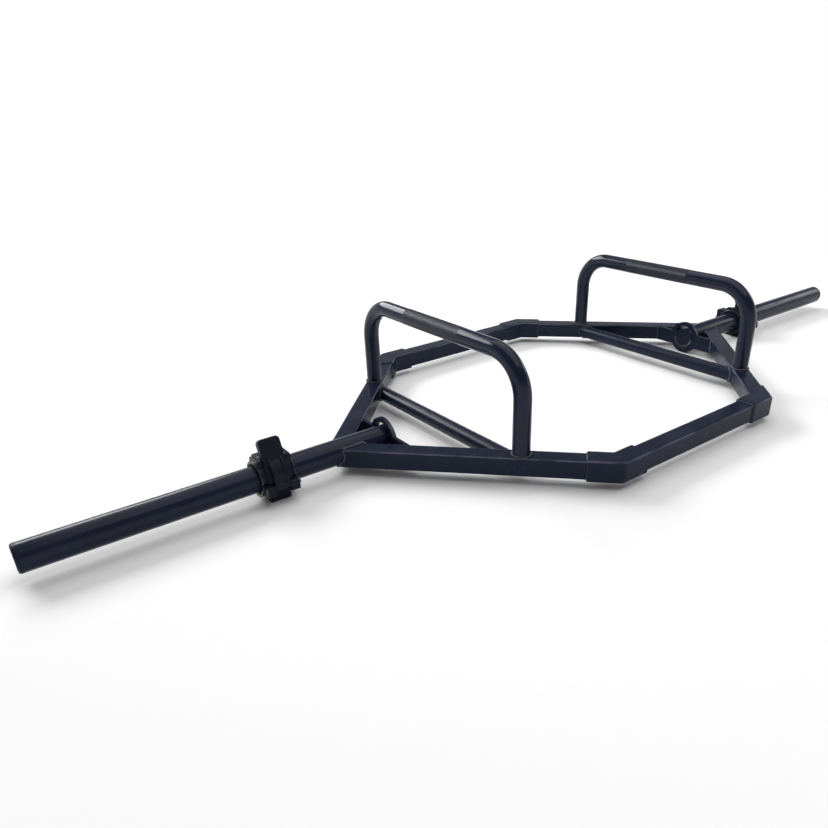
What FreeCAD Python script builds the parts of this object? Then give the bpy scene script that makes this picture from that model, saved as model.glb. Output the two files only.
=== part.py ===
import FreeCAD, Part
import math
import os

# Hex trap bar: a welded hexagon of square tube with two loading sleeves, two raised handles,
# two low handles and a hinged collar on each sleeve.
# X runs along the sleeves, Y from the front rail to the rear rail, Z up from the floor.
# The origin is on the floor, below the middle of the hexagon.

# Driving dimensions in millimetres. A "reach" is measured from the middle of the bar.
SIZES = [
    ("axis_height", 42, "floor to the sleeve axis"),
    ("sleeve_diameter", 50, "loading sleeve, outside"),
    ("sleeve_wall", 4, "loading sleeve, wall"),
    ("sleeve_reach", 1148, "outer end of the sleeve tube"),
    ("sleeve_stub", 2, "sleeve showing inside the gusset"),
    ("mark_clear", 7, "collar face to the ring mark where the plates start"),
    ("mark_width", 2.4, "ring mark, along the sleeve"),
    ("mark_depth", 0.4, "ring mark, depth"),
    ("plug_rim", 8, "end plug, thickness of its rim"),
    ("plug_round", 5, "end plug, rounding of its rim"),
    ("plug_stem", 22, "end plug, length inside the tube"),
    ("plug_fit", 0.1, "end plug, radial clearance in the tube"),
    ("inner_plug_length", 14, "plug in the sleeve's inner end, length"),
    ("inner_plug_set", 0.5, "plug in the sleeve's inner end, set back from it"),
    ("apex_reach", 591, "where the arms' centre lines meet the axis"),
    ("corner_reach", 227, "corner of the hexagon along X"),
    ("frame_half_width", 378, "corner of the hexagon along Y"),
    ("tube_side", 38, "frame tube, outside"),
    ("tube_wall", 3, "frame tube, wall"),
    ("tube_corner", 4, "frame tube, outside corner radius"),
    ("cope_fit", 0.1, "arm end to sleeve, root gap of the weld"),
    ("elbow_wall", 3, "corner socket, wall"),
    ("elbow_fit", 0.2, "corner socket, clearance on each side of the tube"),
    ("elbow_leg", 56, "corner socket, leg length"),
    ("elbow_outer_bend", 15, "corner socket, outer bend radius"),
    ("elbow_inner_bend", 6, "corner socket, inner bend radius"),
    ("elbow_edge", 5, "corner socket, rounding of the long edges"),
    ("socket_stop", 14, "tube end to the middle of the corner"),
    ("handle_reach", 349, "handles along X"),
    ("handle_diameter", 34, "raised handle, outside"),
    ("handle_wall", 3, "raised handle, wall"),
    ("handle_rise", 203, "grip centre above the frame's centre"),
    ("handle_bend", 78, "raised handle, bend radius of the centre line"),
    ("low_handle_diameter", 32, "low handle, outside"),
    ("low_handle_wall", 3, "low handle, wall"),
    ("gusset_inset", 104, "middle of the gusset plate, in from the apex"),
    ("gusset_thickness", 8, "gusset plate, thickness"),
    ("gusset_height", 36, "gusset plate, height of its wings"),
    ("gusset_ring_diameter", 82, "gusset plate, ring round the sleeve"),
    ("gusset_fit", 0.1, "gusset hole to sleeve, root gap of the weld"),
    ("gusset_gap", 7, "open crescent above the sleeve"),
    ("collar_offset", 140, "middle of the collar, out from the apex"),
    ("collar_length", 64, "collar, overall along X"),
    ("collar_band", 44, "collar, width of the middle band"),
    ("collar_band_diameter", 76, "collar, middle band"),
    ("collar_neck_diameter", 66, "collar, ring beside the band"),
    ("collar_split", 1.5, "gap between the two jaws"),
    ("liner_thickness", 2.7, "rubber liner"),
    ("liner_clear", 0.3, "liner to sleeve"),
    ("liner_fit", 0.05, "liner to jaw"),
    ("liner_recess", 1, "liner set back from each end of the jaw"),
    ("cheek_width", 9, "cheeks beside the thumb block, along X"),
    ("cheek_front", 20, "cheeks, in front of the sleeve axis"),
    ("cheek_rear", 18, "cheeks, behind the sleeve axis"),
    ("cheek_height", 40, "cheeks, above the sleeve axis"),
    ("cheek_round", 6, "cheeks, rounding of their top"),
    ("lug_width", 40, "collar foot, along X"),
    ("lug_depth", 56, "collar foot, along Y"),
    ("ear_span", 62, "lever ears, overall along X"),
    ("ear_front", 50, "lever ears, in front of the sleeve axis"),
    ("ear_depth", 24, "lever ears, along Y"),
    ("ear_height", 20, "lever ears, height"),
    ("ear_round", 5, "lever ears, rounding of their front edges"),
    ("hinge_reach", 50, "jaw hinge from the sleeve axis"),
    ("knuckle_diameter", 12, "hinge and lever knuckles"),
    ("hinge_root", 30, "start of the hinge webs, behind the sleeve axis"),
    ("hinge_middle", 26, "width of the middle hinge knuckle"),
    ("hinge_shoulder", 23, "height of the shoulder over the middle hinge knuckle"),
    ("shoulder_rear", 58, "rear face of that shoulder, behind the sleeve axis"),
    ("shoulder_round", 4, "rounding of that shoulder"),
    ("side_clear", 0.4, "between neighbouring knuckles"),
    ("knuckle_clear", 0.6, "round a turning knuckle"),
    ("pin_diameter", 5, "hinge and lever pins"),
    ("pin_fit", 0.05, "pin to hole, radial"),
    ("pin_head_diameter", 9, "pin head"),
    ("pin_head", 2.5, "pin head, thickness"),
    ("lever_pivot_reach", 44, "lever pivot in front of the sleeve axis"),
    ("lever_pivot_drop", 6, "lever pivot below the sleeve axis"),
    ("lever_width", 28, "lever strap, along X"),
    ("lever_thickness", 6, "lever strap"),
    ("lever_rib", 5, "width of the raised rib along each edge of the strap"),
    ("lever_rib_height", 2.5, "height of the ribs over the strap"),
    ("lever_gap", 0.6, "lever strap to jaw"),
    ("lever_wrap", 104, "angle that the strap goes round the collar"),
    ("lever_tip_angle", 84, "angle at the strap's free end"),
    ("thumb_width", 42, "lever thumb block, along X"),
    ("thumb_thickness", 17, "lever thumb block"),
    ("thumb_length", 50, "lever thumb block, along its slope"),
    ("thumb_tilt", 24, "lever thumb block, lean to the rear"),
    ("thumb_front", 27, "lever thumb block, foot in front of the sleeve axis"),
    ("thumb_foot", 30, "lever thumb block, foot above the sleeve axis"),
    ("thumb_corner", 8, "lever thumb block, rounding of its two top corners"),
    ("thumb_round", 3, "lever thumb block, rounding of its edges"),
]

SIDES = (("left", -1), ("right", 1))
ENDS = (("front", -1), ("rear", 1))

doc = FreeCAD.newDocument("hex_trap_bar")
sheet = doc.addObject("Spreadsheet::Sheet", "Sizes")
for row, (alias, value, note) in enumerate(SIZES, start=1):
    sheet.set(f"A{row}", note)
    sheet.set(f"B{row}", str(value))
    sheet.setAlias(f"B{row}", alias)
doc.recompute()

# Formulas that several pieces share.
AXIS = "Sizes.axis_height"
FRAME_DROP = "((Sizes.sleeve_diameter - Sizes.tube_side) / 2)"
FRAME_LEVEL = f"({AXIS} - {FRAME_DROP})"
LOW_HANDLE_LEVEL = f"({AXIS} - (Sizes.sleeve_diameter - Sizes.low_handle_diameter) / 2)"
COLLAR_REACH = "(Sizes.apex_reach + Sizes.collar_offset)"
GUSSET_REACH = "(Sizes.apex_reach - Sizes.gusset_inset)"
ARM_RUN = "(Sizes.apex_reach - Sizes.corner_reach)"
ARM_LENGTH = f"sqrt({ARM_RUN} ^ 2 + Sizes.frame_half_width ^ 2)"
CORNER_TURN = f"atan2(Sizes.frame_half_width; {ARM_RUN})"
SLEEVE_RADIUS = "Sizes.sleeve_diameter / 2"
HALF_TUBE = "Sizes.tube_side / 2"
HANDLE_SPREAD = (f"(Sizes.frame_half_width * (Sizes.apex_reach - Sizes.handle_reach)"
                 f" / {ARM_RUN})")
LINER_BORE = f"({SLEEVE_RADIUS} + Sizes.liner_clear)"
LINER_OUTSIDE = f"({LINER_BORE} + Sizes.liner_thickness)"
BAND_RADIUS = "Sizes.collar_band_diameter / 2"
STRAP_BORE = f"({BAND_RADIUS} + Sizes.lever_gap)"
STRAP_OUTSIDE = f"({STRAP_BORE} + Sizes.lever_thickness)"
KNUCKLE_RADIUS = "Sizes.knuckle_diameter / 2"
KNUCKLE_ROOM = f"({KNUCKLE_RADIUS} + Sizes.knuckle_clear)"
PIN_HOLE = "(Sizes.pin_diameter / 2 + Sizes.pin_fit)"


def at(x="0", y="0", z="0", axis="0; 0; 1", angle="0"):
    """Placement formula: a point, then a turn about an axis through it."""
    return f"placement(vector({x}; {y}; {z}); rotation(vector({axis}); {angle}))"


def along_x(x="0", y="0", z="0", start="0"):
    """Placement formula that lays a primitive's own Z along X, its angles counted from Y to Z."""
    return at(x, y, z, "1; 1; 1", "120") + " * " + at(angle=start)


def along_y(x="0", y="0", z="0"):
    """Placement formula that lays a primitive's own Z along Y."""
    return at(x, y, z, "1; 0; 0", "-90")


def new_body(label, where):
    body = doc.addObject("PartDesign::Body", label)
    body.Label = label
    body.setExpression("Placement", where)
    return body


def add(body, kind, where, **sizes):
    """Add a PartDesign primitive to a body, with its sizes and its place as formulas."""
    feature = doc.addObject("PartDesign::" + kind, f"{body.Label}_{kind}")
    body.addObject(feature)
    for field, formula in sizes.items():
        feature.setExpression(field, formula)
    feature.setExpression("Placement", where)
    return feature


def box(body, kind, size, corner, turn=None):
    """Add or cut a box by its size and its lowest corner, after an optional turn placement."""
    where = at(*corner)
    if turn:
        where = f"{turn} * {where}"
    length, width, height = size
    return add(body, kind + "Box", where, Length=length, Width=width, Height=height)


def disc(body, kind, radius, length, where, **more):
    """Add or cut a cylinder."""
    return add(body, kind + "Cylinder", where, Radius=radius, Height=length, **more)


def edges_where(feature, test):
    doc.recompute()
    return [f"Edge{number}" for number, edge in enumerate(feature.Shape.Edges, start=1) if test(edge)]


def fillet(body, feature, test, radius):
    """Round the edges of a feature that pass a test."""
    rounded = doc.addObject("PartDesign::Fillet", body.Label + "_round")
    names = edges_where(feature, test)
    body.addObject(rounded)
    rounded.Base = (feature, names)
    rounded.setExpression("Radius", radius)
    return rounded


def middle(edge):
    return edge.valueAt((edge.FirstParameter + edge.LastParameter) / 2)


def runs_along(edge, direction):
    first, last = edge.valueAt(edge.FirstParameter), edge.valueAt(edge.LastParameter)
    way = last - first
    return way.Length > 1e-6 and abs(way.normalize().dot(direction)) > 0.999


def size_of(alias):
    return float(sheet.get(alias))


# Frame tubes
def square_tube(body, length, start="0"):
    """A rounded square tube along the body's own X, open at both ends."""
    side = "Sizes.tube_side"
    inside = "Sizes.tube_side - 2 * Sizes.tube_wall"
    outer = box(body, "Additive", (length, side, side), (start, f"-{side} / 2", f"-{side} / 2"))
    fillet(body, outer, lambda edge: runs_along(edge, FreeCAD.Vector(1, 0, 0)), "Sizes.tube_corner")
    box(body, "Subtractive", (length, inside, inside), (start, f"-({inside}) / 2", f"-({inside}) / 2"))


def arm_turn(side, end):
    """Direction of an arm, seen from its apex."""
    return f"atan2({end} * Sizes.frame_half_width; {-side} * {ARM_RUN})"


def arm(label, side, end):
    """Arm from the sleeve to a corner socket, cut to sit on the round sleeve and mitred to its mate."""
    body = new_body(label, at(f"{side} * Sizes.apex_reach", "0", FRAME_LEVEL, angle=arm_turn(side, end)))
    square_tube(body, f"{ARM_LENGTH} - Sizes.socket_stop")
    bar_frame = at(angle=f"-1 * {arm_turn(side, end)}")
    wide = "(2 * Sizes.tube_side)"
    mitre = "0" if end < 0 else f"-{wide}"
    box(body, "Subtractive", (f"2 * {wide}", wide, wide), (f"-{wide}", mitre, "-Sizes.tube_side"),
        bar_frame)
    sleeve_line = bar_frame + " * " + along_x(f"-{wide}", "0", FRAME_DROP)
    disc(body, "Subtractive", f"{SLEEVE_RADIUS} + Sizes.cope_fit", f"2 * {wide}", sleeve_line)
    return body


def rail(label, end):
    """Tube between two corner sockets, parallel to the sleeves."""
    half = "(Sizes.corner_reach - Sizes.socket_stop)"
    body = new_body(label, at("0", f"{end} * Sizes.frame_half_width", FRAME_LEVEL))
    square_tube(body, f"2 * {half}", f"-{half}")
    return body


def cut_arm_room(body, side, end):
    """Cut away the space that an arm takes. The body's own frame is the bar's."""
    turn = at(f"{side} * Sizes.apex_reach", "0", AXIS, angle=arm_turn(side, end))
    size = (ARM_LENGTH, "Sizes.tube_side", "2 * Sizes.gusset_ring_diameter")
    box(body, "Subtractive", size, ("0", f"-{HALF_TUBE}", "-Sizes.gusset_ring_diameter"), turn)


# Corner sockets
def elbow(label, side, end):
    """Bent socket over the ends of a rail and an arm, with a square cavity along each leg."""
    corner = at(f"{side} * Sizes.corner_reach", f"{end} * Sizes.frame_half_width", FRAME_LEVEL)
    body = new_body(label, corner)
    cavity = f"({HALF_TUBE} + Sizes.elbow_fit)"
    outside = f"({cavity} + Sizes.elbow_wall)"
    turns = (at(angle="180" if side > 0 else "0"),
             at(angle=f"atan2({-end} * Sizes.frame_half_width; {side} * {ARM_RUN})"))
    for turn in turns:
        back = f"{outside} * tan({CORNER_TURN} / 2)"
        size = (f"Sizes.elbow_leg + {back}", f"2 * {outside}", f"2 * {outside}")
        solid = box(body, "Additive", size, (f"-1 * {back}", f"-{outside}", f"-{outside}"), turn)
    up = FreeCAD.Vector(0, 0, 1)
    outward = FreeCAD.Vector(side, end, 0)
    near = size_of("elbow_leg") * 0.8

    def bend_edge(edge, sign):
        place = middle(edge)
        return runs_along(edge, up) and place.Length < near and sign * place.dot(outward) > 0

    solid = fillet(body, solid, lambda edge: bend_edge(edge, 1), "Sizes.elbow_outer_bend")
    solid = fillet(body, solid, lambda edge: bend_edge(edge, -1), "Sizes.elbow_inner_bend")
    face = size_of("tube_side") / 2 + size_of("elbow_fit") + size_of("elbow_wall")

    def long_edge(edge):
        place = middle(edge)
        level = abs(abs(place.z) - face) < 1e-4
        return level and FreeCAD.Vector(place.x, place.y, 0).Length < near

    fillet(body, solid, long_edge, "Sizes.elbow_edge")
    for turn in turns:
        back = f"{cavity} * tan({CORNER_TURN} / 2)"
        size = (f"2 * Sizes.elbow_leg + {back}", f"2 * {cavity}", f"2 * {cavity}")
        box(body, "Subtractive", size, (f"-1 * {back}", f"-{cavity}", f"-{cavity}"), turn)
    return body


# Sleeves, plugs and gussets
def sleeve(label, side):
    """Loading sleeve, from just inside the gusset to the end plug, with a ring mark for the plates."""
    body = new_body(label, at("0", "0", AXIS))
    start = f"({GUSSET_REACH} - Sizes.gusset_thickness / 2 - Sizes.sleeve_stub)"
    mark = f"({COLLAR_REACH} + Sizes.collar_length / 2 + Sizes.mark_clear)"
    mark_end = f"({mark} + Sizes.mark_width)"
    mark_radius = f"{SLEEVE_RADIUS} - Sizes.mark_depth"
    stretches = ((start, mark, SLEEVE_RADIUS), (mark, mark_end, mark_radius),
                 (mark_end, "Sizes.sleeve_reach", SLEEVE_RADIUS))
    for inner, outer, radius in stretches:
        disc(body, "Additive", radius, f"{outer} - {inner}", along_x(inner if side > 0 else f"-{outer}"))
    disc(body, "Subtractive", f"{SLEEVE_RADIUS} - Sizes.sleeve_wall", f"Sizes.sleeve_reach - {start}",
         along_x(start if side > 0 else "-Sizes.sleeve_reach"))
    return body


def end_plug(label, side):
    """Rounded plug pressed into the outer end of a sleeve."""
    body = new_body(label, at(f"{side} * Sizes.sleeve_reach", "0", AXIS))
    rim = disc(body, "Additive", SLEEVE_RADIUS, "Sizes.plug_rim",
               along_x("0" if side > 0 else "-Sizes.plug_rim"))
    outer = size_of("plug_rim") * 0.5
    fillet(body, rim, lambda edge: edge.Closed and abs(middle(edge).x) > outer, "Sizes.plug_round")
    disc(body, "Additive", f"{SLEEVE_RADIUS} - Sizes.sleeve_wall - Sizes.plug_fit", "Sizes.plug_stem",
         along_x("-Sizes.plug_stem" if side > 0 else "0"))
    return body


def inner_plug(label, side):
    """Plug that closes the inner end of a sleeve."""
    start = f"({GUSSET_REACH} - Sizes.gusset_thickness / 2 - Sizes.sleeve_stub + Sizes.inner_plug_set)"
    body = new_body(label, at(f"{side} * {start}", "0", AXIS))
    disc(body, "Additive", f"{SLEEVE_RADIUS} - Sizes.sleeve_wall - Sizes.plug_fit", "Sizes.inner_plug_length",
         along_x("0" if side > 0 else "-Sizes.inner_plug_length"))
    return body


def gusset(label, side):
    """Plate across a V of arms: two wings and a ring that carries the sleeve's inner end."""
    body = new_body(label, at())
    first = f"{side} * {GUSSET_REACH} - Sizes.gusset_thickness / 2"
    thick = "Sizes.gusset_thickness"
    width = "2 * Sizes.gusset_inset * Sizes.frame_half_width / " + ARM_RUN
    box(body, "Additive", (thick, width, "Sizes.gusset_height"),
        (first, f"-({width}) / 2", f"{FRAME_LEVEL} - Sizes.gusset_height / 2"))
    disc(body, "Additive", "Sizes.gusset_ring_diameter / 2", thick, along_x(first, "0", AXIS))
    hole = f"({SLEEVE_RADIUS} + Sizes.gusset_fit)"
    disc(body, "Subtractive", hole, thick, along_x(first, "0", AXIS))
    box(body, "Subtractive", (thick, f"2 * {hole}", "Sizes.gusset_gap"), (first, f"-{hole}", AXIS))
    disc(body, "Subtractive", hole, thick, along_x(first, "0", f"{AXIS} + Sizes.gusset_gap"))
    for name, end in ENDS:
        cut_arm_room(body, side, end)
    return body


# Handles
def bent_rod(body, kind, radius, foot):
    """A bow of two legs, two quarter bends and a grip, standing on the arms."""
    rise = f"({FRAME_LEVEL} + Sizes.handle_rise)"
    bend_height = f"({rise} - Sizes.handle_bend)"
    inner = f"({HANDLE_SPREAD} - Sizes.handle_bend)"
    disc(body, kind, radius, f"{bend_height} - {foot}", at("0", f"-{HANDLE_SPREAD}", foot))
    bend = {"Radius1": "Sizes.handle_bend", "Radius2": radius, "Angle3": "90"}
    add(body, kind + "Torus", along_x("0", f"-{inner}", bend_height, "90"), **bend)
    disc(body, kind, radius, f"2 * {inner}", along_y("0", f"-{inner}", rise))
    add(body, kind + "Torus", along_x("0", inner, bend_height), **bend)
    disc(body, kind, radius, f"{bend_height} - {foot}", at("0", HANDLE_SPREAD, foot))


def high_handle(label, side):
    body = new_body(label, at(f"{side} * Sizes.handle_reach"))
    foot = f"({FRAME_LEVEL} + {HALF_TUBE})"
    bent_rod(body, "Additive", "Sizes.handle_diameter / 2", foot)
    bent_rod(body, "Subtractive", "Sizes.handle_diameter / 2 - Sizes.handle_wall", foot)
    return body


def low_handle(label, side):
    """Straight tube between the arms, its ends cut to their inner faces."""
    body = new_body(label, at())
    where = along_y(f"{side} * Sizes.handle_reach", f"-{HANDLE_SPREAD}", LOW_HANDLE_LEVEL)
    length = f"2 * {HANDLE_SPREAD}"
    disc(body, "Additive", "Sizes.low_handle_diameter / 2", length, where)
    disc(body, "Subtractive", "Sizes.low_handle_diameter / 2 - Sizes.low_handle_wall", length, where)
    for name, end in ENDS:
        cut_arm_room(body, side, end)
    return body


# Collars. Each body's own origin is the collar's middle on the sleeve axis.
def collar_place(side):
    return at(f"{side} * {COLLAR_REACH}", "0", AXIS)


def centred(length, y="0", z="0", start="0"):
    """Placement of a primitive of a given length along X, centred on the collar."""
    return along_x(f"-({length}) / 2", y, z, start)


def ring_shell(body):
    """Neck and middle band of a whole ring, before it is bored and split."""
    disc(body, "Additive", "Sizes.collar_neck_diameter / 2", "Sizes.collar_length",
         centred("Sizes.collar_length"))
    disc(body, "Additive", BAND_RADIUS, "Sizes.collar_band", centred("Sizes.collar_band"))


def bore_ring(body):
    disc(body, "Subtractive", f"{LINER_OUTSIDE} + Sizes.liner_fit", "Sizes.collar_length",
         centred("Sizes.collar_length"))


def keep_half(body, sign):
    """Cut away the half of a ring above or below the split. Sign 1 keeps the upper half."""
    wide = "2 * Sizes.hinge_reach"
    low = "-Sizes.hinge_reach * 2 + Sizes.collar_split / 2" if sign > 0 else "-Sizes.collar_split / 2"
    box(body, "Subtractive", ("Sizes.collar_length", f"2 * {wide}", wide),
        ("-Sizes.collar_length / 2", f"-{wide}", low))


def hinge_knuckle(body, width, web_low, shift="0"):
    """Round knuckle of the jaw hinge, joined to the band by a web. Shift moves it along X."""
    first = f"{shift} - ({width}) / 2"
    box(body, "Additive", (width, "Sizes.hinge_reach - Sizes.hinge_root", KNUCKLE_RADIUS),
        (first, "Sizes.hinge_root", web_low))
    disc(body, "Additive", KNUCKLE_RADIUS, width, along_x(first, "Sizes.hinge_reach"))


def lever_ear(body, shift):
    """Block in front of the lower half ring that carries one end of the lever's pin."""
    ear = box(body, "Additive", (EAR_WIDTH, "Sizes.ear_depth", "Sizes.ear_height"),
              (f"{shift} - {EAR_WIDTH} / 2", "-Sizes.ear_front",
               "-Sizes.ear_height - Sizes.collar_split / 2"))
    front = -size_of("ear_front")
    along = FreeCAD.Vector(1, 0, 0)
    place = 1 if shift.startswith("1") else -1

    def nose(edge):
        spot = middle(edge)
        return runs_along(edge, along) and abs(spot.y - front) < 1e-4 and spot.x * place > 0

    fillet(body, ear, nose, "Sizes.ear_round")


def cheek(body, first, sign):
    """Raised end of the upper half ring, beside the lever's thumb block."""
    block = box(body, "Additive",
                ("Sizes.cheek_width", "Sizes.cheek_front + Sizes.cheek_rear", "Sizes.cheek_height"),
                (first, "-Sizes.cheek_front", "0"))
    top = size_of("cheek_height")
    along = FreeCAD.Vector(1, 0, 0)

    def crown(edge):
        spot = middle(edge)
        return runs_along(edge, along) and abs(spot.z - top) < 1e-4 and spot.x * sign > 0

    fillet(body, block, crown, "Sizes.cheek_round")


HINGE_SIDE = "((Sizes.lug_width - Sizes.hinge_middle) / 2 - Sizes.side_clear)"
HINGE_SHIFT = "((Sizes.lug_width + Sizes.hinge_middle) / 4 + Sizes.side_clear / 2)"
EAR_WIDTH = "((Sizes.ear_span - Sizes.lever_width) / 2 - Sizes.side_clear)"
EAR_SHIFT = "((Sizes.ear_span + Sizes.lever_width) / 4 + Sizes.side_clear / 2)"
LEVER_Y = "-Sizes.lever_pivot_reach"
LEVER_Z = "-Sizes.lever_pivot_drop"


def lower_jaw(label, side):
    """Lower half ring with the foot, the outer hinge knuckles and the lever's ears."""
    body = new_body(label, collar_place(side))
    ring_shell(body)
    box(body, "Additive", ("Sizes.lug_width", "Sizes.lug_depth", AXIS),
        ("-Sizes.lug_width / 2", "-Sizes.lug_depth / 2", f"-{AXIS}"))
    keep_half(body, -1)
    disc(body, "Subtractive", KNUCKLE_ROOM, "Sizes.hinge_middle + 2 * Sizes.side_clear",
         centred("Sizes.hinge_middle + 2 * Sizes.side_clear", "Sizes.hinge_reach"))
    disc(body, "Subtractive", KNUCKLE_ROOM, "Sizes.lever_width + 2 * Sizes.side_clear",
         centred("Sizes.lever_width + 2 * Sizes.side_clear", LEVER_Y, LEVER_Z))
    for sign in ("-1", "1"):
        hinge_knuckle(body, HINGE_SIDE, f"-{KNUCKLE_RADIUS} - Sizes.collar_split / 2",
                      f"{sign} * {HINGE_SHIFT}")
        lever_ear(body, f"{sign} * {EAR_SHIFT}")
    bore_ring(body)
    for y, z in (("Sizes.hinge_reach", "0"), (LEVER_Y, LEVER_Z)):
        disc(body, "Subtractive", PIN_HOLE, "Sizes.collar_length", centred("Sizes.collar_length", y, z))
    return body


def upper_jaw(label, side):
    """Upper half ring with a cheek at each end and the middle hinge knuckle."""
    body = new_body(label, collar_place(side))
    ring_shell(body)
    keep_half(body, 1)
    half = "Sizes.collar_length / 2"
    cheek(body, f"-{half}", -1)
    cheek(body, f"{half} - Sizes.cheek_width", 1)
    low = "Sizes.collar_split / 2"
    box(body, "Subtractive", ("Sizes.collar_length", "2 * Sizes.hinge_reach", low),
        (f"-{half}", "-Sizes.hinge_reach", "0"))
    hinge_knuckle(body, "Sizes.hinge_middle", low)
    depth = "Sizes.shoulder_rear - Sizes.hinge_root"
    shoulder = box(body, "Additive", ("Sizes.hinge_middle", depth, f"Sizes.hinge_shoulder - {low}"),
                   ("-Sizes.hinge_middle / 2", "Sizes.hinge_root", low))
    rear = size_of("hinge_reach")
    high = size_of("hinge_shoulder") / 2

    def rear_edge(edge):
        spot = middle(edge)
        return runs_along(edge, FreeCAD.Vector(1, 0, 0)) and spot.y > rear and spot.z > high

    fillet(body, shoulder, rear_edge, "Sizes.shoulder_round")
    bore_ring(body)
    disc(body, "Subtractive", PIN_HOLE, "Sizes.collar_length",
         centred("Sizes.collar_length", "Sizes.hinge_reach"))
    return body


def liner(label, side, sign):
    """Half ring of rubber in a jaw."""
    body = new_body(label, collar_place(side))
    length = "Sizes.collar_length - 2 * Sizes.liner_recess"
    disc(body, "Additive", LINER_OUTSIDE, length, centred(length))
    disc(body, "Subtractive", LINER_BORE, length, centred(length))
    keep_half(body, sign)
    return body


def lever(label, side):
    """Locking lever: a strap over the upper jaw, pivoted on the lower jaw, with a thumb block."""
    body = new_body(label, collar_place(side))
    width = "Sizes.lever_width"
    disc(body, "Additive", STRAP_OUTSIDE, width, centred(width, start="Sizes.lever_tip_angle"),
         Angle="Sizes.lever_wrap")
    for first in (f"-{width} / 2", f"{width} / 2 - Sizes.lever_rib"):
        disc(body, "Additive", f"{STRAP_OUTSIDE} + Sizes.lever_rib_height", "Sizes.lever_rib",
             along_x(first, start="Sizes.lever_tip_angle"), Angle="Sizes.lever_wrap")
    foot = at("0", "-Sizes.thumb_front", "Sizes.thumb_foot", "1; 0; 0", "-Sizes.thumb_tilt")
    thumb = box(body, "Additive", ("Sizes.thumb_width", "Sizes.thumb_thickness", "Sizes.thumb_length"),
                ("-Sizes.thumb_width / 2", "0", "0"), foot)
    strap_top = size_of("collar_band_diameter") / 2 + size_of("lever_gap") + size_of("lever_thickness")
    top = strap_top + size_of("lever_rib_height")
    tilt = math.radians(size_of("thumb_tilt"))
    through = FreeCAD.Vector(0, math.cos(tilt), -math.sin(tilt))
    high_edge = lambda edge: middle(edge).z > top
    corner_edge = lambda edge: high_edge(edge) and runs_along(edge, through)
    thumb = fillet(body, thumb, corner_edge, "Sizes.thumb_corner")
    fillet(body, thumb, lambda edge: high_edge(edge) and not runs_along(edge, through), "Sizes.thumb_round")
    disc(body, "Subtractive", STRAP_BORE, "Sizes.thumb_width", centred("Sizes.thumb_width"))
    disc(body, "Additive", KNUCKLE_RADIUS, width, centred(width, LEVER_Y, LEVER_Z))
    disc(body, "Subtractive", PIN_HOLE, width, centred(width, LEVER_Y, LEVER_Z))
    return body


def pin(label, side, span, y, z):
    """Headed pin through a span of knuckles or ears. Its head faces the hexagon."""
    body = new_body(label, collar_place(side))
    disc(body, "Additive", "Sizes.pin_diameter / 2", span, centred(span, y, z))
    head = f"-{span} / 2 - Sizes.pin_head" if side > 0 else f"{span} / 2"
    disc(body, "Additive", "Sizes.pin_head_diameter / 2", "Sizes.pin_head", along_x(head, y, z))
    return body


nodes = []
for end_name, end in ENDS:
    nodes.append(rail(f"{end_name}_rail", end))
for side_name, side in SIDES:
    nodes.append(sleeve(f"{side_name}_sleeve", side))
    nodes.append(end_plug(f"{side_name}_end_plug", side))
    nodes.append(inner_plug(f"{side_name}_inner_plug", side))
    nodes.append(gusset(f"{side_name}_gusset", side))
    nodes.append(high_handle(f"{side_name}_high_handle", side))
    nodes.append(low_handle(f"{side_name}_low_handle", side))
    for end_name, end in ENDS:
        nodes.append(arm(f"{side_name}_{end_name}_arm", side, end))
        nodes.append(elbow(f"{side_name}_{end_name}_elbow", side, end))
    nodes.append(lower_jaw(f"{side_name}_collar_lower_jaw", side))
    nodes.append(upper_jaw(f"{side_name}_collar_upper_jaw", side))
    nodes.append(liner(f"{side_name}_collar_lower_liner", side, -1))
    nodes.append(liner(f"{side_name}_collar_upper_liner", side, 1))
    nodes.append(lever(f"{side_name}_collar_lever", side))
    nodes.append(pin(f"{side_name}_collar_hinge_pin", side, "Sizes.lug_width", "Sizes.hinge_reach", "0"))
    nodes.append(pin(f"{side_name}_collar_lever_pin", side, "Sizes.ear_span", LEVER_Y, LEVER_Z))

doc.recompute()

for made in doc.Objects:
    if "Invalid" in made.State or "Error" in made.State:
        raise RuntimeError(f"{made.Label} did not compute: {made.State}")

os.makedirs("parts", exist_ok=True)
for node in nodes:
    if node.Shape.isNull() or not node.Shape.isValid():
        raise RuntimeError(f"{node.Label} has no valid shape")
    if len(node.Shape.Solids) != 1:
        raise RuntimeError(f"{node.Label} is {len(node.Shape.Solids)} solids")
    node.Shape.exportStep(f"parts/{node.Label}.step")
    room = node.Shape.BoundBox
    print(f"{node.Label}: {room.XLength:.1f} x {room.YLength:.1f} x {room.ZLength:.1f} mm")
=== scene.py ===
import math
from collections import namedtuple

import bmesh
import bpy
from mathutils import Matrix, Vector


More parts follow.
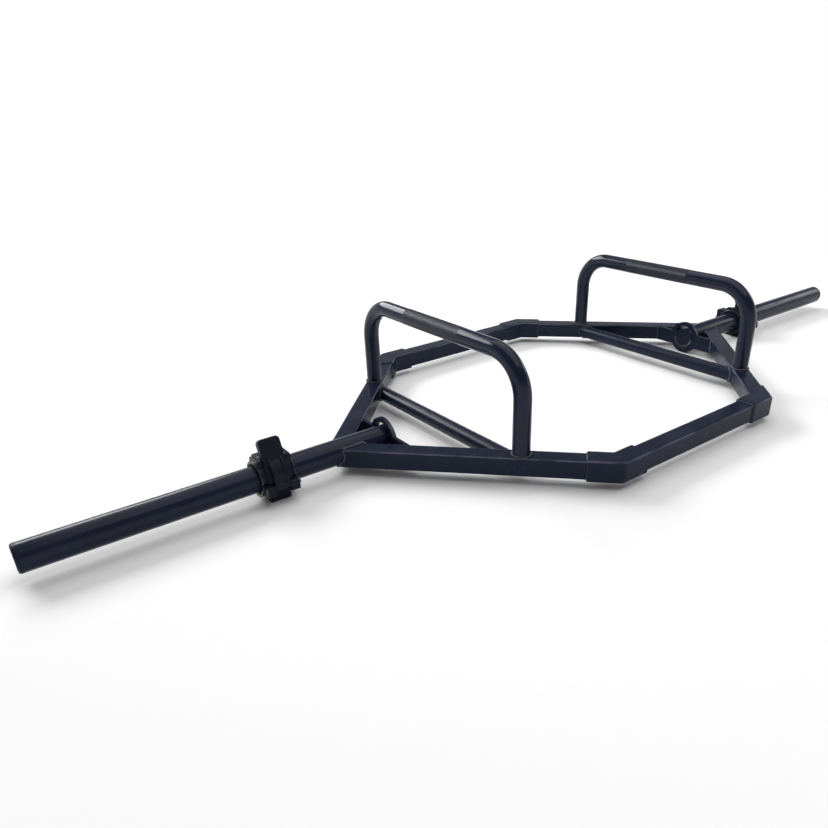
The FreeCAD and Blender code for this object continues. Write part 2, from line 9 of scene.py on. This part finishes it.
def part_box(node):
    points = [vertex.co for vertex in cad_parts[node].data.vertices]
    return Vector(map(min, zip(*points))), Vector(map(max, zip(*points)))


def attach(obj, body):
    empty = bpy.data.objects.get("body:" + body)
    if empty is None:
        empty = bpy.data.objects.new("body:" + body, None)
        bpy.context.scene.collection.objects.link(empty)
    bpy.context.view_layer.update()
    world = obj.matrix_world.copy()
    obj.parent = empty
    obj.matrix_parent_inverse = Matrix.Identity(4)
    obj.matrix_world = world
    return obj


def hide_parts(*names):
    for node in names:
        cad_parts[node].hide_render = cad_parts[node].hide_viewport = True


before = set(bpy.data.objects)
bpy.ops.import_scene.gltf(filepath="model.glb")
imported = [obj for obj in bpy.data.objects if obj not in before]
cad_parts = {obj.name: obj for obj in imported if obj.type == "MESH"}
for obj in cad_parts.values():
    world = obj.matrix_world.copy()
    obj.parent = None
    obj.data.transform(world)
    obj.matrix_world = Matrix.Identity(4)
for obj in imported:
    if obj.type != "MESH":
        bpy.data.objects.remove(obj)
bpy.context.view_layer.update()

# Sizes of the bar, in metres. X runs along the sleeves, Y to the rear, Z up from the floor.
APEX_X = 0.591             # where the arms' centre lines meet the sleeve axis
CORNER_X = 0.227           # corner of the hexagon along X
SOCKET_LEG = 0.056         # corner socket, from the corner to its end
TUBE_CORNER = 0.004        # rounding of the square tube

# Knurling of the raised grips
GRIP_FRONT = -0.084        # front end of the knurled zone
GRIP_REAR = 0.099          # rear end of the knurled zone
KNURL_PITCH = 0.0016       # from diamond to diamond
KNURL_DEPTH = 0.00013      # height of a diamond
KNURL_SINK = 0.0003        # how far the ends of the knurling sink into the grip
KNURL_RUN_OUT = 0.002      # length over which they sink

# Weld beads
BEAD_PITCH = 0.0022        # from ripple to ripple on arms, handles and gussets
BEAD_RADIUS = 0.0034
SOCKET_BEAD_PITCH = 0.0016
SOCKET_BEAD_RADIUS = 0.0023
LEAST_SWELL = 0.8          # smallest ripple, as a share of the bead's radius
MOST_SWELL = 1.2           # largest ripple
SWELL_SEED = 7
RIPPLE_LENGTH = 0.85       # half a ripple along the seam, as a share of the pitch
RIPPLE_SEGMENTS = 8
RIPPLE_RINGS = 5

# Steps along the weld seams
SADDLE_STEPS = 12          # along each of three sides of an arm
ROUND_STEPS = 40           # round a handle
RING_STEPS = 24            # under the sleeve
SOCKET_STEPS = 56          # round a square tube
SOCKET_POWER = 9           # how square the seam round that tube is
RING_START = 1.05          # where the seam under the sleeve starts, in half turns
RING_SPAN = 0.9            # how far it goes
WING_STEPS = (-1, -0.5, 0, 0.5, 1)

# Rounded lip at a collar's ends
LIP_RADIUS = 0.0026        # of the lip's own section
LIP_GAP = 0.0012           # half the split between the two jaws
LIP_INSET = 0.0074         # from the sleeve's surface to the middle of the lip
LIP_BACK = 0.0006          # from the jaws' end face in to the middle of the lip
LIP_STEPS = 40             # lengths round half a lip
LIP_ROUND = 14             # faces round the lip's own section

# Rounding of the collars' mouldings
SAME_POINT = 1e-5          # points closer than this are one
SKIN_VOXEL = 0.0006
SOFTEN_FACTOR = 0.5
SOFTEN_ROUNDS = 5
THIN_RATIO = 0.4           # share of the faces that is kept

SIDES = {"left": -1, "right": 1}
ENDS = (-1, 1)             # front and rear
FACES = (-1, 1)            # the two faces of a plate


class Wire:
    """A node's output socket. Arithmetic on wires adds Math nodes to their tree."""

    def __init__(self, graph, socket):
        self.graph = graph
        self.socket = socket

    def maths(self, operation, *others):
        return self.graph.node("ShaderNodeMath", dict(enumerate((self, *others))), operation=operation)

    def __add__(self, other):
        return self.maths("ADD", other)

    def __sub__(self, other):
        return self.maths("SUBTRACT", other)

    def __mul__(self, other):
        return self.maths("MULTIPLY", other)

    def __truediv__(self, other):
        return self.maths("DIVIDE", other)

    __radd__ = __add__


class Graph:
    """Builds a node tree, one call for each node."""

    def __init__(self, tree):
        self.tree = tree

    def node(self, kind, inputs=None, output=0, **settings):
        made = self.tree.nodes.new(kind)
        for name, value in settings.items():
            setattr(made, name, value)
        for key, value in (inputs or {}).items():
            if isinstance(value, Wire):
                self.tree.links.new(value.socket, made.inputs[key])
            else:
                made.inputs[key].default_value = value
        return Wire(self, made.outputs[output]) if len(made.outputs) else None

    def spread(self, value, low, high, new_low=0.0, new_high=1.0):
        """Map a range of values to another, held at its ends."""
        return self.node("ShaderNodeMapRange", dict(enumerate((value, low, high, new_low, new_high))),
                         clamp=True)

    def noise(self, where, scale, detail=2.0, rough=0.5):
        return self.node("ShaderNodeTexNoise", {
            "Vector": where, "Scale": scale, "Detail": detail, "Roughness": rough})

    def blend(self, factor, first, second):
        """Mix two colours. The Mix node has its colour sockets at these places."""
        return self.node("ShaderNodeMix", {0: factor, 6: first, 7: second}, output=2, data_type="RGBA")


# Finishes
NAVY = (0.0088, 0.0132, 0.0312)
DEEP_NAVY = (*[channel * 0.82 for channel in NAVY], 1)
PALE_NAVY = (*[channel * 1.2 for channel in NAVY], 1)
DUST = (0.09, 0.092, 0.1, 1)
# Pale worn paint, used also as a painted highlight on the upward rounded corners of square tube
RUBBED_EDGE_AND_HIGHLIGHT = (0.1, 0.109, 0.135, 1)
WHITE = (1, 1, 1, 1)


def start_material(name):
    """A new material, the builder of its nodes and its Object coordinates."""
    material = bpy.data.materials.new(name)
    material.use_nodes = True
    material.node_tree.nodes.clear()
    graph = Graph(material.node_tree)
    return material, graph, graph.node("ShaderNodeTexCoord", output="Object")


def end_material(graph, colour, roughness, bump, strength, distance, metallic=0.0, specular=0.5):
    normal = graph.node("ShaderNodeBump", {"Strength": strength, "Distance": distance, "Height": bump})
    shader = graph.node("ShaderNodeBsdfPrincipled", {
        "Base Color": colour, "Roughness": roughness, "Metallic": metallic, "Normal": normal,
        "Specular IOR Level": specular})
    graph.node("ShaderNodeOutputMaterial", {"Surface": shader})


def paint(name, gloss, specular, dust, drawn=False, rubbed_and_highlit=False):
    """Sprayed enamel on steel: orange peel, uneven gloss and a little dust on what faces up.

    Drawn tube has faint lines along it, and square tube gets a painted highlight, mixed with pale worn
    paint, along its upward rounded corners.
    """
    material, graph, where = start_material(name)
    relief = graph.noise(where, scale=520.0)
    patches = graph.noise(where, scale=22.0, detail=3.0)
    specks = graph.spread(graph.noise(where, scale=900.0, detail=1.0), 0.66, 0.74)
    facing = graph.node("ShaderNodeNewGeometry", output="Normal")
    slope = graph.node("ShaderNodeSeparateXYZ", {"Vector": facing}, output="Z")
    settled = specks * graph.spread(slope, 0.3, 1.0) * dust
    base = graph.blend(patches, DEEP_NAVY, PALE_NAVY)
    base = graph.blend(settled, base, DUST)
    roughness = gloss + graph.spread(patches, 0.3, 0.7, -0.04, 0.05) + settled * 0.3
    # Painted highlight along the upward-facing rounded corners, in patches like worn paint
    if rubbed_and_highlit:
        corner = graph.spread(slope, 0.15, 0.5) * graph.spread(slope, 0.75, 0.97, 1.0, 0.0)
        wear_and_highlight = corner * graph.spread(patches, 0.35, 0.6, 0.25, 1.0)
        base = graph.blend(wear_and_highlight, base, RUBBED_EDGE_AND_HIGHLIGHT)
    if drawn:
        stretched = graph.node("ShaderNodeMapping", {"Vector": where, "Scale": (6.0, 420.0, 420.0)})
        lines = graph.noise(stretched, scale=1.0, detail=3.0)
        roughness = roughness + graph.spread(lines, 0.35, 0.65, -0.08, 0.14)
        relief = relief + lines * 4.0
    end_material(graph, base, roughness, relief, strength=0.05, distance=0.0004, specular=specular)
    return material


def knurled_paint():
    """Worn paint on the knurled grips: greyer and duller in patches where hands rub."""
    material, graph, where = start_material("knurl_finish")
    worn = graph.spread(graph.noise(where, scale=60.0, detail=4.0), 0.3, 0.7)
    grain = graph.noise(where, scale=1500.0)
    base = graph.blend(worn, (0.005, 0.0078, 0.019, 1), (0.0078, 0.0112, 0.0245, 1))
    end_material(graph, base, 0.34 + worn * 0.06, grain, strength=0.1, distance=0.0001, specular=0.25)
    return material


def moulded_plastic(name, gloss, specular):
    """Glass-filled nylon of the collars: fine spark-eroded grain and faint flow marks."""
    material, graph, where = start_material(name)
    grain = graph.noise(where, scale=1400.0, detail=3.0)
    flow = graph.noise(where, scale=45.0, detail=3.0)
    base = graph.blend(flow, (0.0085, 0.01, 0.018, 1), (0.0145, 0.0165, 0.0275, 1))
    roughness = gloss + graph.spread(flow, 0.3, 0.7, -0.06, 0.08)
    end_material(graph, base, roughness, grain, strength=0.15, distance=0.0002, specular=specular)
    return material


def plug_plastic():
    """Scuffed plastic of the sleeves' plugs."""
    material, graph, where = start_material("plug_plastic")
    scuffs = graph.noise(where, scale=160.0, detail=5.0, rough=0.7)
    base = graph.blend(scuffs, (0.007, 0.0105, 0.023, 1), (0.011, 0.0155, 0.032, 1))
    roughness = graph.spread(scuffs, 0.3, 0.7, 0.28, 0.46)
    end_material(graph, base, roughness, scuffs, strength=0.08, distance=0.0002, specular=0.12)
    return material


def liner_rubber():
    """Matt rubber inside the collars."""
    material, graph, where = start_material("liner_rubber")
    grain = graph.noise(where, scale=1100.0, detail=4.0, rough=0.7)
    base = graph.blend(grain, (0.008, 0.008, 0.009, 1), (0.02, 0.02, 0.021, 1))
    end_material(graph, base, 0.7 + grain * 0.15, grain, strength=0.3, distance=0.0002, specular=0.3)
    return material


def pin_steel():
    """Dark oxidised steel with turning marks, close together along the pins."""
    material, graph, where = start_material("pin_steel")
    stretched = graph.node("ShaderNodeMapping", {"Vector": where, "Scale": (4000.0, 300.0, 300.0)})
    marks = graph.noise(stretched, scale=1.0)
    base = graph.blend(marks, (0.07, 0.073, 0.08, 1), (0.16, 0.165, 0.18, 1))
    end_material(graph, base, 0.3 + marks * 0.15, marks, strength=0.1, distance=0.0001, metallic=1.0)
    return material


finishes = {
    "frame": paint("frame_enamel", gloss=0.25, specular=0.125, dust=0.2, rubbed_and_highlit=True),
    "handle": paint("handle_enamel", gloss=0.16, specular=0.21, dust=0.12),
    "low_handle": paint("low_handle_enamel", gloss=0.26, specular=0.16, dust=0.12),
    "sleeve": paint("sleeve_enamel", gloss=0.22, specular=0.17, dust=0.12, drawn=True),
    "weld": paint("weld_enamel", gloss=0.14, specular=0.8, dust=0.0),
    "knurl": knurled_paint(),
    "collar": moulded_plastic("collar_nylon", gloss=0.3, specular=0.08),
    "lip": moulded_plastic("collar_lip_nylon", gloss=0.2, specular=0.36),
    "plug": plug_plastic(),
    "liner": liner_rubber(),
    "pin": pin_steel(),
}


def finish_for(node):
    """The finish that a node's name ends with, or else the collar's or the frame's."""
    for ending in ("liner", "pin", "plug", "low_handle", "handle", "sleeve"):
        if node.endswith(ending):
            return ending
    return "collar" if "collar" in node else "frame"


for node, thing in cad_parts.items():
    thing.data.materials.clear()
    thing.data.materials.append(finishes[finish_for(node)])


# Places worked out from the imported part
def middle_of(node):
    low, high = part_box(node)
    return (low + high) / 2


def size_of(node):
    low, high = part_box(node)
    return high - low


AXIS_Z = middle_of("left_sleeve").z
SLEEVE_RADIUS = size_of("left_sleeve").y / 2
FRAME_Z = middle_of("front_rail").z
HALF_TUBE = size_of("front_rail").z / 2
HALF_WIDTH = middle_of("rear_rail").y
HANDLE_X = middle_of("right_high_handle").x
HANDLE_RADIUS = size_of("right_high_handle").x / 2
HANDLE_Y = size_of("right_high_handle").y / 2 - HANDLE_RADIUS
GRIP_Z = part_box("right_high_handle")[1].z - HANDLE_RADIUS
LOW_RADIUS = size_of("right_low_handle").x / 2
LOW_Z = middle_of("right_low_handle").z
GUSSET_X = middle_of("right_gusset").x
GUSSET_HALF = size_of("right_gusset").x / 2

Arm = namedtuple("Arm", "apex corner along across")


def arm_at(side, end):
    """An arm's two ends, its direction and the level direction across it, out of the hexagon."""
    apex = Vector((side * APEX_X, 0, FRAME_Z))
    corner = Vector((side * CORNER_X, end * HALF_WIDTH, FRAME_Z))
    along = (corner - apex).normalized()
    across = Vector((side * abs(along.y), end * abs(along.x), 0))
    return Arm(apex, corner, along, across)


def inner_face_y(arm, x):
    """Where the inner face of an arm is, at a place along X."""
    face = arm.apex - arm.across * HALF_TUBE
    return face.y + arm.along.y * (x - face.x) / arm.along.x


def tube_drop(offset):
    """How far the rounded top of a square tube falls at a distance from its middle line."""
    past = min(max(abs(offset) - (HALF_TUBE - TUBE_CORNER), 0.0), TUBE_CORNER)
    return TUBE_CORNER - math.sqrt(TUBE_CORNER ** 2 - past ** 2)


def turn_points(count):
    return [math.tau * step / count for step in range(count + 1)]


# Weld seams, each a list of points
def saddle_seam(side, end):
    """Round three sides of an arm where it sits on the sleeve."""
    arm = arm_at(side, end)

    def point(offset, z):
        reach = math.sqrt(max(SLEEVE_RADIUS ** 2 - (z - AXIS_Z) ** 2, 0.0))
        run = (reach - abs(arm.across.y) * offset) / abs(arm.along.y)
        spot = arm.apex + arm.across * offset + arm.along * max(run, 0.0)
        return Vector((spot.x, spot.y, z))

    low = FRAME_Z - HALF_TUBE + TUBE_CORNER
    high = FRAME_Z + HALF_TUBE
    shares = [step / SADDLE_STEPS for step in range(SADDLE_STEPS + 1)]
    rise = [low + (high - TUBE_CORNER - low) * share for share in shares]
    top = [HALF_TUBE * (2 * share - 1) for share in shares]
    seam = [point(-HALF_TUBE, z) for z in rise]
    seam += [point(offset, high - tube_drop(offset)) for offset in top]
    seam += [point(HALF_TUBE, z) for z in reversed(rise)]
    return seam


def leg_seam(side, end):
    """Round the foot of a raised handle's leg on top of an arm."""
    arm = arm_at(side, end)
    foot = Vector((side * HANDLE_X, end * HANDLE_Y, FRAME_Z + HALF_TUBE))
    seam = []
    for turn in turn_points(ROUND_STEPS):
        out = Vector((math.cos(turn), math.sin(turn), 0)) * HANDLE_RADIUS
        seam.append(foot + out - Vector((0, 0, tube_drop(out.dot(arm.across)))))
    return seam


def low_handle_seam(side, end):
    """Round the end of a low handle on the inner face of an arm."""
    arm = arm_at(side, end)
    seam = []
    for turn in turn_points(ROUND_STEPS):
        x = side * HANDLE_X + LOW_RADIUS * math.cos(turn)
        z = LOW_Z + LOW_RADIUS * math.sin(turn)
        seam.append(Vector((x, inner_face_y(arm, x), z)) + arm.across * tube_drop(z - FRAME_Z))
    return seam


def wing_seam(side, end, face):
    """Up one face of a gusset's wing, along the arm."""
    x = side * GUSSET_X + face * GUSSET_HALF
    y = inner_face_y(arm_at(side, end), x)
    half = HALF_TUBE - TUBE_CORNER
    return [Vector((x, y, FRAME_Z + half * step)) for step in WING_STEPS]


def ring_seam(side, face):
    """Under the sleeve where it passes through the gusset's ring."""
    x = side * GUSSET_X + face * GUSSET_HALF
    seam = []
    for step in range(RING_STEPS + 1):
        turn = math.pi * (RING_START + RING_SPAN * step / RING_STEPS)
        seam.append(Vector((x, SLEEVE_RADIUS * math.cos(turn), AXIS_Z + SLEEVE_RADIUS * math.sin(turn))))
    return seam


def socket_seams(side, end):
    """Round both tubes where they leave a corner socket."""
    arm = arm_at(side, end)
    rail = Vector((-side, 0, 0))
    seams = []
    for way in (rail, -arm.along):
        level = Vector((-way.y, way.x, 0))
        centre = arm.corner + way * SOCKET_LEG
        seam = []
        for turn in turn_points(SOCKET_STEPS):
            u, w = math.cos(turn), math.sin(turn)
            reach = HALF_TUBE / (abs(u) ** SOCKET_POWER + abs(w) ** SOCKET_POWER) ** (1 / SOCKET_POWER)
            seam.append(centre + level * u * reach + Vector((0, 0, w * reach)))
        seams.append(seam)
    return seams


# Pieces made by geometry nodes
def new_object(name, data):
    thing = bpy.data.objects.new(name, data)
    bpy.context.scene.collection.objects.link(thing)
    return thing


def apply_modifiers(thing):
    """Keep what an object's modifiers make as its plain mesh."""
    bpy.context.view_layer.update()
    made = thing.evaluated_get(bpy.context.evaluated_depsgraph_get())
    mesh = bpy.data.meshes.new_from_object(made)
    thing.modifiers.clear()
    thing.data = mesh


def new_tree(name, sizes):
    """A geometry tree with a mesh in, named sizes and a mesh out."""
    tree = bpy.data.node_groups.new(name, "GeometryNodeTree")
    tree.interface.new_socket("Geometry", in_out="INPUT", socket_type="NodeSocketGeometry")
    for size, kind in sizes.items():
        tree.interface.new_socket(size, in_out="INPUT", socket_type=kind)
    tree.interface.new_socket("Geometry", in_out="OUTPUT", socket_type="NodeSocketGeometry")
    graph = Graph(tree)
    entry = tree.nodes.new("NodeGroupInput")
    wires = {socket.name: Wire(graph, socket) for socket in entry.outputs if socket.name}
    return tree, graph, wires


def close_tree(graph, mesh, material):
    """Realize what was instanced, give it its material and send it out."""
    real = graph.node("GeometryNodeRealizeInstances", {0: mesh})
    painted = graph.node("GeometryNodeSetMaterial", {"Geometry": real, "Material": material})
    graph.node("NodeGroupOutput", {0: painted})


def bake_tree(thing, tree, values):
    """Run a geometry tree on an object and keep the result."""
    modifier = thing.modifiers.new("make", "NODES")
    modifier.node_group = tree
    for item in tree.interface.items_tree:
        if item.in_out == "INPUT" and item.name in values:
            modifier[item.identifier] = values[item.name]
    apply_modifiers(thing)


def bead_tree(material):
    """Weld bead: overlapping ripples set along each path, like a row of fallen coins."""
    tree, graph, size = new_tree("weld_bead", {"Pitch": "NodeSocketFloat", "Radius": "NodeSocketFloat"})
    path = graph.node("GeometryNodeMeshToCurve", {0: size["Geometry"]})
    path = graph.node("GeometryNodeResampleCurve", {"Curve": path, "Length": size["Pitch"]}, mode="LENGTH")
    tangent = graph.node("GeometryNodeInputTangent")
    turn = graph.node("FunctionNodeAlignRotationToVector", {"Vector": tangent}, axis="X")
    swell = graph.node("FunctionNodeRandomValue", {2: LEAST_SWELL, 3: MOST_SWELL, "Seed": SWELL_SEED},
                       output=1, data_type="FLOAT")
    radius = size["Radius"] * swell
    scale = graph.node("ShaderNodeCombineXYZ", {
        "X": size["Pitch"] * RIPPLE_LENGTH, "Y": radius, "Z": radius})
    ripple = graph.node("GeometryNodeMeshUVSphere", {
        "Segments": RIPPLE_SEGMENTS, "Rings": RIPPLE_RINGS, "Radius": 1.0})
    ripple = graph.node("GeometryNodeSetShadeSmooth", {0: ripple})
    beads = graph.node("GeometryNodeInstanceOnPoints", {
        "Points": path, "Instance": ripple, "Rotation": turn, "Scale": scale})
    close_tree(graph, beads, material)
    return tree


def paths_mesh(name, seams):
    """A mesh of bare edges, one run for each seam."""
    points = [tuple(point) for seam in seams for point in seam]
    edges = []
    first = 0
    for seam in seams:
        edges += [(first + step, first + step + 1) for step in range(len(seam) - 1)]
        first += len(seam)
    mesh = bpy.data.meshes.new(name)
    mesh.from_pydata(points, edges, [])
    return mesh


def knurl_tree(material):
    """Diamond knurling: a cylinder whose grid of points is raised at every second one."""
    tree, graph, size = new_tree("knurl", {
        "Radius": "NodeSocketFloat", "Length": "NodeSocketFloat", "Depth": "NodeSocketFloat",
        "Columns": "NodeSocketInt", "Rows": "NodeSocketInt"})
    tube = graph.node("GeometryNodeMeshCylinder", {
        "Vertices": size["Columns"], "Side Segments": size["Rows"], "Radius": size["Radius"],
        "Depth": size["Length"]}, fill_type="NGON")
    spot = graph.node("GeometryNodeInputPosition")
    x, y, z = [graph.node("ShaderNodeSeparateXYZ", {"Vector": spot}, output=axis) for axis in "XYZ"]
    turn = y.maths("ARCTAN2", x) / math.tau
    column = (turn * size["Columns"]).maths("ROUND")
    row = ((z / size["Length"] + 0.5) * size["Rows"]).maths("ROUND")
    raised = (column + row).maths("FLOORED_MODULO", 2.0)
    room = size["Length"] * 0.5 - z.maths("ABSOLUTE")
    ramp = graph.spread(room, 0.0, KNURL_RUN_OUT)
    lift = (raised * size["Depth"] + KNURL_SINK) * ramp - KNURL_SINK
    grow = 1.0 + lift / size["Radius"]
    moved = graph.node("ShaderNodeCombineXYZ", {"X": x * grow, "Y": y * grow, "Z": z})
    cut = graph.node("GeometryNodeSetPosition", {"Geometry": tube, "Position": moved})
    close_tree(graph, cut, material)
    return tree


def add_beads():
    """All welds, in two pieces: the fat seams and the finer ones at the corner sockets."""
    fat = []
    fine = []
    for side in SIDES.values():
        fat += [ring_seam(side, face) for face in FACES]
        for end in ENDS:
            fat += [saddle_seam(side, end), leg_seam(side, end), low_handle_seam(side, end)]
            fat += [wing_seam(side, end, face) for face in FACES]
            fine += socket_seams(side, end)
    tree = bead_tree(finishes["weld"])
    kinds = (("weld_beads", fat, BEAD_PITCH, BEAD_RADIUS),
             ("socket_beads", fine, SOCKET_BEAD_PITCH, SOCKET_BEAD_RADIUS))
    for name, seams, pitch, radius in kinds:
        piece = new_object(name, paths_mesh(name, seams))
        bake_tree(piece, tree, {"Pitch": pitch, "Radius": radius})
        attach(piece, "frame")


def add_knurls():
    """A knurled skin over the middle of each raised grip."""
    length = GRIP_REAR - GRIP_FRONT
    columns = 2 * round(math.tau * HANDLE_RADIUS / KNURL_PITCH)
    rows = 2 * round(length / KNURL_PITCH)
    tree = knurl_tree(finishes["knurl"])
    for side_name, side in SIDES.items():
        piece = new_object(f"{side_name}_grip_knurl", bpy.data.meshes.new("knurl"))
        bake_tree(piece, tree, {"Radius": HANDLE_RADIUS, "Length": length, "Depth": KNURL_DEPTH,
                                "Columns": columns, "Rows": rows})
        place = Matrix.Translation((side * HANDLE_X, (GRIP_FRONT + GRIP_REAR) / 2, GRIP_Z))
        piece.data.transform(place @ Matrix.Rotation(math.radians(-90), 4, "X"))
        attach(piece, "frame")


# Collar pieces with the soft edges of a moulding
def moulded_copy(node, body):
    """A copy of a collar piece, rounded as a moulding is, in place of the sharp one."""
    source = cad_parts[node]
    piece = new_object(node + "_moulded", source.data.copy())
    work = bmesh.new()
    work.from_mesh(piece.data)
    bmesh.ops.remove_doubles(work, verts=work.verts, dist=SAME_POINT)
    work.to_mesh(piece.data)
    work.free()
    skin = piece.modifiers.new("skin", "REMESH")
    skin.mode = "VOXEL"
    skin.voxel_size = SKIN_VOXEL
    skin.use_smooth_shade = True
    soften = piece.modifiers.new("soften", "SMOOTH")
    soften.factor = SOFTEN_FACTOR
    soften.iterations = SOFTEN_ROUNDS
    thin = piece.modifiers.new("thin", "DECIMATE")
    thin.ratio = THIN_RATIO
    apply_modifiers(piece)
    piece.data.materials.clear()
    piece.data.materials.append(finishes["collar"])
    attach(piece, body)
    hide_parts(node)


def add_lip(side_name, half_name, body, first, last):
    """Half of the rounded lip at both ends of a collar, where the sleeve comes out."""
    low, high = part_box(f"{side_name}_collar_lower_jaw")
    ring = SLEEVE_RADIUS + LIP_INSET
    trim = math.asin(LIP_GAP / ring)
    work = bmesh.new()
    for place in (low.x + LIP_BACK, high.x - LIP_BACK):
        rows = []
        for step in range(LIP_STEPS + 1):
            turn = first + trim + (last - first - 2 * trim) * step / LIP_STEPS
            row = []
            for bit in range(LIP_ROUND):
                around = math.tau * bit / LIP_ROUND
                reach = ring + LIP_RADIUS * math.cos(around)
                row.append(work.verts.new((place + LIP_RADIUS * math.sin(around), reach * math.cos(turn),
                                           AXIS_Z + reach * math.sin(turn))))
            rows.append(row)
        for row, after in zip(rows, rows[1:]):
            for bit in range(LIP_ROUND):
                following = (bit + 1) % LIP_ROUND
                work.faces.new((row[bit], row[following], after[following], after[bit])).smooth = True
        work.faces.new(rows[0])
        work.faces.new(rows[-1])
    bmesh.ops.recalc_face_normals(work, faces=work.faces)
    name = f"{side_name}_collar_{half_name}_lip"
    mesh = bpy.data.meshes.new(name)
    work.to_mesh(mesh)
    work.free()
    mesh.materials.append(finishes["lip"])
    piece = new_object(name, mesh)
    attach(piece, body)


add_beads()
add_knurls()
for side_name in SIDES:
    moulded_copy(f"{side_name}_collar_lower_jaw", f"{side_name}_collar")
    moulded_copy(f"{side_name}_collar_upper_jaw", f"{side_name}_jaw")
    moulded_copy(f"{side_name}_collar_lever", f"{side_name}_lever")
    add_lip(side_name, "upper", f"{side_name}_jaw", 0.0, math.pi)
    add_lip(side_name, "lower", f"{side_name}_collar", math.pi, math.tau)


# Stage: pale floor, soft light and the camera
FLOOR_HALF = 30.0
FADE_SQUEEZE = (0.67, 1.0, 1.0)            # makes the fade to plain white an oval along the bar
FADE_START, FADE_END = 0.85, 1.5           # where the fade starts and ends, across the bar
WORLD_WHITE_TO, WORLD_DARK_FROM = 0.13, 0.33    # as the sine of the angle above the horizon
WORLD_DARK = 0.17

# Each lamp's name, place, target, width and length, and power in watts
LAMPS = (
    ("top_softbox", (0.5, 0.0, 2.6), (0.5, 0.0, 0.0), (3.0, 4.0), 58),
    ("rear_softbox", (-1.5, 5.83, 4.0), (-0.35, 0.0, 0.24), (5.3, 2.6), 450),
    ("right_strip", (3.2, -0.5, 1.25), (1.0, 0.0, 0.05), (1.3, 0.8), 12),
)

# The photograph's viewpoint: pixels, radians, and metres from the middle of the sleeves' axis
PICTURE = 828
FOCAL = 704.8
CENTRE_RIGHT, CENTRE_DOWN = 20.0, 50.0
AZIMUTH, DIP, ROLL = 0.6239, 0.4813, -0.0343
CAMERA_X, CAMERA_Y, CAMERA_RISE = -1.1548, -1.0953, 0.6022
SENSOR_WIDTH = 36.0
CLIP_START = 0.05


def add_floor():
    """Paper that keeps the bar's shadow near it, and is plain white to what looks at it farther out."""
    material, graph, where = start_material("floor_paper")
    grain = graph.noise(where, scale=40.0, detail=3.0)
    colour = graph.blend(grain, (0.955, 0.955, 0.955, 1), (0.975, 0.975, 0.975, 1))
    paper = graph.node("ShaderNodeBsdfDiffuse", {"Color": colour})
    white = graph.node("ShaderNodeEmission", {"Color": WHITE, "Strength": 1.0})
    squeezed = graph.node("ShaderNodeMapping", {"Vector": where, "Scale": FADE_SQUEEZE})
    away = graph.node("ShaderNodeVectorMath", {0: squeezed}, output="Value", operation="LENGTH")
    far = graph.spread(away, FADE_START, FADE_END)
    camera, glossy, through = [graph.node("ShaderNodeLightPath", output=name)
                               for name in ("Is Camera Ray", "Is Glossy Ray", "Is Transmission Ray")]
    seen = (camera + glossy + through).maths("MINIMUM", 1.0)
    surface = graph.node("ShaderNodeMixShader", {0: far * seen, 1: paper, 2: white})
    graph.node("ShaderNodeOutputMaterial", {"Surface": surface})
    corners = [(x * FLOOR_HALF, y * FLOOR_HALF, 0) for x, y in ((-1, -1), (1, -1), (1, 1), (-1, 1))]
    mesh = bpy.data.meshes.new("floor")
    mesh.from_pydata(corners, [], [(0, 1, 2, 3)])
    mesh.materials.append(material)
    new_object("floor", mesh)


def add_light(name, place, target, size, power):
    lamp = bpy.data.lights.new(name, "AREA")
    lamp.shape = "RECTANGLE"
    lamp.size, lamp.size_y = size
    lamp.energy = power
    thing = new_object(name, lamp)
    thing.location = place
    way = Vector(target) - Vector(place)
    thing.rotation_euler = way.to_track_quat("-Z", "Y").to_euler()


def add_world():
    """White at the floor's far edge and darker overhead, the same to every ray."""
    world = bpy.data.worlds.new("studio")
    world.use_nodes = True
    world.node_tree.nodes.clear()
    graph = Graph(world.node_tree)
    way = graph.node("ShaderNodeTexCoord", output="Generated")
    height = graph.node("ShaderNodeSeparateXYZ", {"Vector": way}, output="Z")
    level = graph.spread(height, WORLD_WHITE_TO, WORLD_DARK_FROM, 1.0, WORLD_DARK)
    light = graph.node("ShaderNodeBackground", {"Color": WHITE, "Strength": level})
    graph.node("ShaderNodeOutputWorld", {"Surface": light})
    bpy.context.scene.world = world


def add_camera():
    camera = bpy.data.cameras.new("camera")
    camera.sensor_width = SENSOR_WIDTH
    camera.lens = FOCAL / PICTURE * camera.sensor_width
    camera.shift_x = -CENTRE_RIGHT / PICTURE
    camera.shift_y = CENTRE_DOWN / PICTURE
    camera.clip_start = CLIP_START
    thing = new_object("camera", camera)
    turn = Matrix.Rotation(-AZIMUTH, 4, "Z") @ Matrix.Rotation(math.pi / 2 - DIP, 4, "X")
    turn = turn @ Matrix.Rotation(ROLL, 4, "Z")
    thing.matrix_world = Matrix.Translation((CAMERA_X, CAMERA_Y, AXIS_Z + CAMERA_RISE)) @ turn
    bpy.context.scene.camera = thing


add_floor()
for lamp in LAMPS:
    add_light(*lamp)
add_world()
add_camera()
bpy.context.scene.view_settings.view_transform = "Standard"
